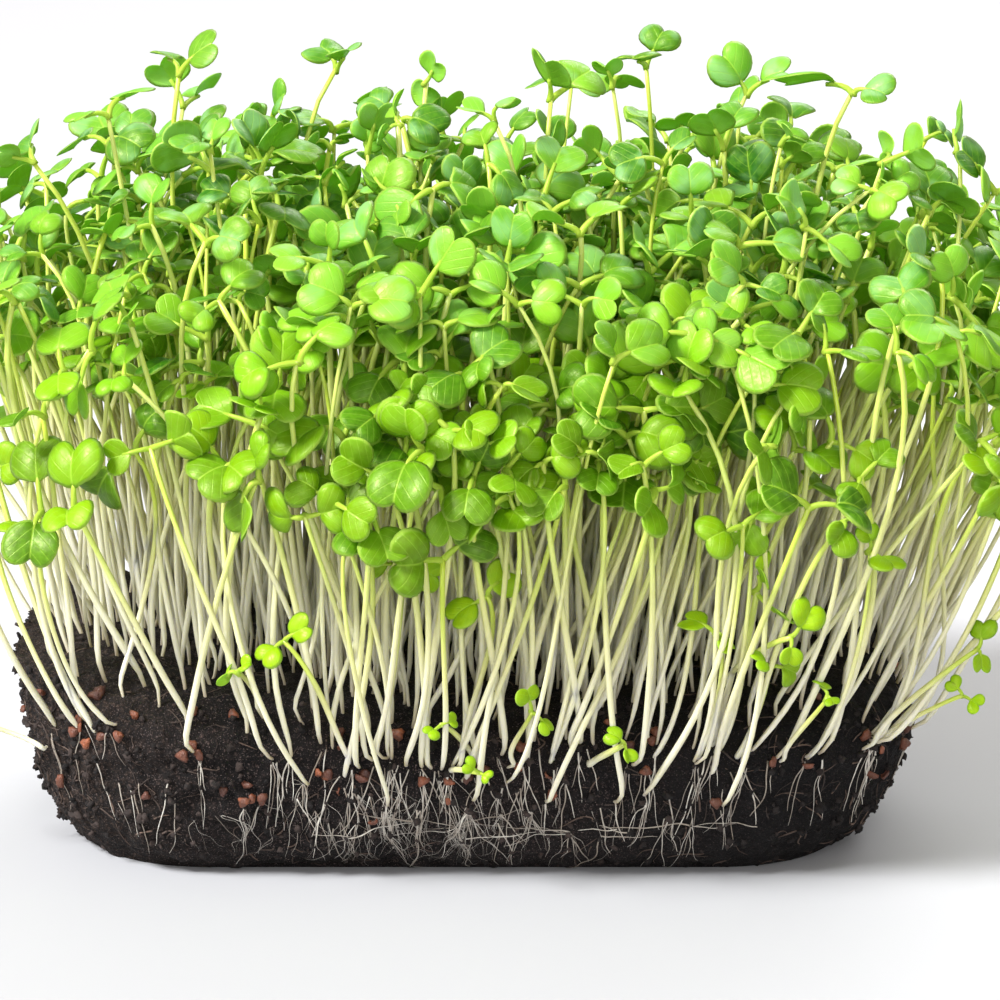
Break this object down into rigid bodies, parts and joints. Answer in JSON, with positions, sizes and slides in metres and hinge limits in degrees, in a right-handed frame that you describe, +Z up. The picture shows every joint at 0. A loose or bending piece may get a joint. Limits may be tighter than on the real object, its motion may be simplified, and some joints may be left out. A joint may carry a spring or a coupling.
{
  "type": "microgreens block",
  "caption": "Block of dark growing medium, out of its tray, densely grown with brassica microgreens on white stems.",
  "frame": {"origin": "centre of the soil block's flat base", "axes": "+Z up along the growing sprouts, +X along the block's long side, front side facing -Y"},
  "size_m": [0.1862, 0.1355, 0.1238],
  "materials": {
    "soil": "matte",
    "stem": "satin",
    "leaf": "satin",
    "seed": "matte"
  },
  "bodies": {
    "root": {"soil_block": "soil", "stem_01": "stem", "stem_02": "stem", "stem_03": "stem", "stem_04": "stem", "stem_05": "stem", "stem_06": "stem", "stem_07": "stem", "stem_08": "stem", "stem_09": "stem", "stem_10": "stem", "stem_11": "stem", "stem_12": "stem", "stem_13": "stem", "stem_14": "stem", "stem_15": "stem", "stem_16": "stem", "stem_17": "stem", "stem_18": "stem", "stem_19": "stem", "stem_20": "stem", "stem_21": "stem", "stem_22": "stem", "stem_23": "stem", "stem_24": "stem", "stem_25": "stem", "stem_26": "stem", "stem_27": "stem", "stem_28": "stem", "leaf_pair_01": "leaf", "leaf_pair_02": "leaf", "leaf_pair_03": "leaf", "leaf_pair_04": "leaf", "leaf_pair_05": "leaf", "leaf_pair_06": "leaf", "leaf_pair_07": "leaf", "leaf_pair_08": "leaf", "leaf_pair_09": "leaf", "leaf_pair_10": "leaf", "leaf_pair_11": "leaf", "leaf_pair_12": "leaf", "leaf_pair_13": "leaf", "leaf_pair_14": "leaf", "leaf_pair_15": "leaf", "leaf_pair_16": "leaf", "leaf_pair_17": "leaf", "leaf_pair_18": "leaf", "leaf_pair_19": "leaf", "leaf_pair_20": "leaf", "leaf_pair_21": "leaf", "leaf_pair_22": "leaf", "leaf_pair_23": "leaf", "leaf_pair_24": "leaf", "leaf_pair_25": "leaf", "leaf_pair_26": "leaf", "leaf_pair_27": "leaf", "leaf_pair_28": "leaf", "seed_hull_1": "seed", "seed_hull_2": "seed", "seed_hull_3": "seed"}
  },
  "joints": []
}
